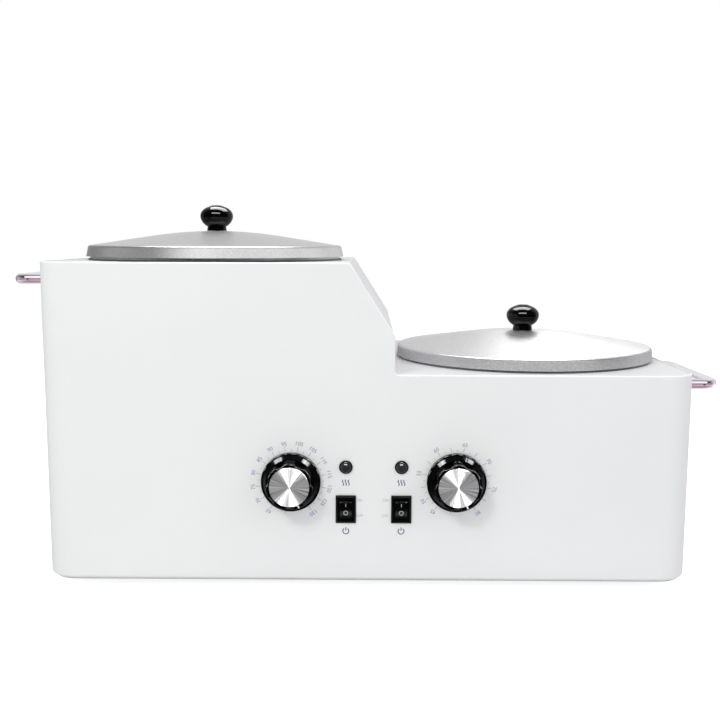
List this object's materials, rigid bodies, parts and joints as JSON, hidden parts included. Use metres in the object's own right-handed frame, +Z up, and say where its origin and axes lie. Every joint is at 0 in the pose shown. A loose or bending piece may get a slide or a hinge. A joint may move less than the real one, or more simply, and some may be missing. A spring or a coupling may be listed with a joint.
{
  "type": "double wax warmer",
  "caption": "Stepped countertop wax warmer with two lidded lift-out pots, side handles, and a dial, lamp and rocker switch for each well.",
  "frame": {"origin": "on the table, under the middle of the whole footprint", "axes": "+X to the low side with the front facing the viewer, +Y to the back, +Z up"},
  "size_m": [0.5592, 0.2588, 0.2886],
  "materials": {
    "white_powder_coat": "white powder coat on sheet steel, fine texture, half gloss",
    "deck_powder_coat": "pale grey-white powder coat, half gloss",
    "base_steel": "light grey painted sheet steel",
    "zinc_steel": "bright zinc plated steel fasteners",
    "foot_rubber": "black moulded rubber",
    "handle_chrome": "bright chrome plated rod",
    "well_aluminium": "spun aluminium, mill finish",
    "pot_aluminium": "spun aluminium, polished inside",
    "lid_aluminium": "satin spun aluminium with fine turning lines",
    "black_bakelite": "glossy black thermoset moulding",
    "dial_cap_aluminium": "turned aluminium disc, radial sheen",
    "switch_plastic": "black moulded plastic, low gloss",
    "lamp_smoke": "smoked clear plastic lens",
    "inlet_plastic": "black moulded thermoplastic",
    "terminal_brass": "nickel-free brass blades",
    "capillary_copper": "bare copper tube",
    "thermostat_bakelite": "dark brown thermoset case",
    "shaft_steel": "turned steel",
    "heater_mica": "stainless sheathed band heater",
    "wool_jacket": "glass wool sleeve in woven cloth",
    "block_nylon": "natural nylon",
    "wire_silicone": "heat-proof silicone insulation"
  },
  "bodies": {
    "root": {"body_shell": "white_powder_coat", "deck_plate": "deck_powder_coat", "base_plate": "base_steel", "base_screws": "zinc_steel", "rubber_feet": "foot_rubber", "foot_screws": "zinc_steel", "foot_nuts": "zinc_steel", "handle_washers": "zinc_steel", "handle_nuts": "zinc_steel", "thermal_cutouts": "thermostat_bakelite", "thermostat_screws": "zinc_steel", "switch_tabs": "terminal_brass", "lamp_nuts": "switch_plastic", "mains_inlet": "inlet_plastic", "inlet_pins": "terminal_brass", "inlet_screws": "zinc_steel", "inlet_nuts": "zinc_steel", "terminal_block": "block_nylon", "block_screws": "zinc_steel", "block_nuts": "zinc_steel", "earth_stud": "zinc_steel", "wiring_harness": "wire_silicone", "left_handle": "handle_chrome", "left_heating_well": "well_aluminium", "left_heater_band": "heater_mica", "left_insulation_jacket": "wool_jacket", "left_thermostat": "thermostat_bakelite", "left_capillary": "capillary_copper", "left_switch_housing": "switch_plastic", "left_lamp_body": "switch_plastic", "left_lamp_lens": "lamp_smoke", "right_handle": "handle_chrome", "right_heating_well": "well_aluminium", "right_heater_band": "heater_mica", "right_insulation_jacket": "wool_jacket", "right_thermostat": "thermostat_bakelite", "right_capillary": "capillary_copper", "right_switch_housing": "switch_plastic", "right_lamp_body": "switch_plastic", "right_lamp_lens": "lamp_smoke"},
    "left_pot": {"left_pot": "pot_aluminium"},
    "left_lid": {"left_lid_cover": "lid_aluminium", "left_lid_knob": "black_bakelite", "left_lid_washer": "zinc_steel", "left_lid_screw": "zinc_steel"},
    "left_dial": {"left_dial_knob": "black_bakelite", "left_dial_cap": "dial_cap_aluminium", "left_thermostat_shaft": "shaft_steel"},
    "left_rocker": {"left_rocker": "switch_plastic"},
    "right_pot": {"right_pot": "pot_aluminium"},
    "right_lid": {"right_lid_cover": "lid_aluminium", "right_lid_knob": "black_bakelite", "right_lid_washer": "zinc_steel", "right_lid_screw": "zinc_steel"},
    "right_dial": {"right_dial_knob": "black_bakelite", "right_dial_cap": "dial_cap_aluminium", "right_thermostat_shaft": "shaft_steel"},
    "right_rocker": {"right_rocker": "switch_plastic"}
  },
  "joints": [
    {"name": "left_pot_lift", "type": "slide", "parent": "root", "child": "left_pot", "axis": [0, 0, 1], "range_m": [0, 0.2]},
    {"name": "left_lid_lift", "type": "slide", "parent": "left_pot", "child": "left_lid", "axis": [0, 0, 1], "range_m": [0, 0.12]},
    {"name": "left_dial_turn", "type": "hinge", "parent": "root", "child": "left_dial", "pos_m": [-0.0562, -0.11155, 0.0834], "axis": [0, 1, 0], "range_deg": [-325, 0]},
    {"name": "left_rocker_press", "type": "hinge", "parent": "root", "child": "left_rocker", "pos_m": [-0.0157, -0.11095, 0.0625], "axis": [-1, 0, 0], "range_deg": [0, 20]},
    {"name": "right_pot_lift", "type": "slide", "parent": "root", "child": "right_pot", "axis": [0, 0, 1], "range_m": [0, 0.14]},
    {"name": "right_lid_lift", "type": "slide", "parent": "right_pot", "child": "right_lid", "axis": [0, 0, 1], "range_m": [0, 0.12]},
    {"name": "right_dial_turn", "type": "hinge", "parent": "root", "child": "right_dial", "pos_m": [0.0658, -0.11155, 0.0834], "axis": [0, 1, 0], "range_deg": [-325, 0]},
    {"name": "right_rocker_press", "type": "hinge", "parent": "root", "child": "right_rocker", "pos_m": [0.0253, -0.11095, 0.0625], "axis": [-1, 0, 0], "range_deg": [0, 20]}
  ]
}
